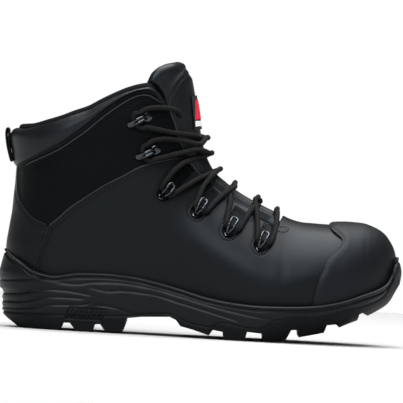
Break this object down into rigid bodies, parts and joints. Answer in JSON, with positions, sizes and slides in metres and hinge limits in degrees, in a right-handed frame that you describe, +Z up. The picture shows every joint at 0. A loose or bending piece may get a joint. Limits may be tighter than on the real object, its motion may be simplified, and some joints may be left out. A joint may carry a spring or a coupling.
{
  "type": "steel toe work boot",
  "caption": "Ankle-high laced safety work boot with a steel toe cap, padded collar and lugged sole; the tongue, pull tab and footbed move.",
  "frame": {"origin": "on the ground under the middle of the boot's box; the boot stands on its heel and ball lugs at z = 0", "axes": "+X from the heel to the toe, +Y to the wearer's left, which is the inner side of this right boot, +Z up"},
  "size_m": [0.3129, 0.1109, 0.2093],
  "materials": {
    "leather": "smooth black leather",
    "soft_leather": "padded black leather",
    "outsole_rubber": "matte moulded rubber",
    "midsole_foam": "satin moulded polyurethane",
    "textile": "woven black textile",
    "steel": "pressed sheet steel",
    "gunmetal": "black plated steel",
    "board": "fibre board",
    "footbed_foam": "textile-faced foam",
    "label": "woven label"
  },
  "bodies": {
    "boot": {"vamp": "leather", "toe_scuff_cap": "leather", "heel_counter": "leather", "quarter_lateral": "leather", "quarter_medial": "leather", "eyestay_backing_lateral": "leather", "eyestay_backing_medial": "leather", "collar": "soft_leather", "outsole": "outsole_rubber", "midsole": "midsole_foam", "lining": "textile", "gusset_lateral": "textile", "gusset_medial": "textile", "lace": "textile", "steel_toe_cap": "steel", "shank": "steel", "heel_stiffener": "board", "insole_board": "board", "puncture_plate": "footbed_foam", "lace_loop_lateral_1": "gunmetal", "lace_loop_lateral_2": "gunmetal", "lace_loop_lateral_3": "gunmetal", "lace_loop_lateral_4": "gunmetal", "speed_hook_lateral_1": "gunmetal", "speed_hook_lateral_2": "gunmetal", "lace_loop_medial_1": "gunmetal", "lace_loop_medial_2": "gunmetal", "lace_loop_medial_3": "gunmetal", "lace_loop_medial_4": "gunmetal", "speed_hook_medial_1": "gunmetal", "speed_hook_medial_2": "gunmetal"},
    "tongue": {"tongue": "soft_leather", "tongue_label": "label"},
    "pull_tab": {"pull_tab": "textile"},
    "footbed": {"footbed": "footbed_foam"}
  },
  "joints": [
    {"name": "tongue_hinge", "type": "hinge", "parent": "boot", "child": "tongue", "pos_m": [0.049, 0, 0.089], "axis": [0, 1, 0], "range_deg": [0, 18], "deforming": ["lace", "gusset_lateral", "gusset_medial"]},
    {"name": "pull_tab_hinge", "type": "hinge", "parent": "boot", "child": "pull_tab", "pos_m": [-0.1489, 0, 0.1272], "axis": [0, -1, 0], "range_deg": [0, 60], "stiffness_Nm_per_rad": 0.006},
    {"name": "footbed_lift", "type": "hinge", "parent": "boot", "child": "footbed", "pos_m": [0.1435, 0, 0.0475], "axis": [0, 1, 0], "range_deg": [0, 5]}
  ]
}
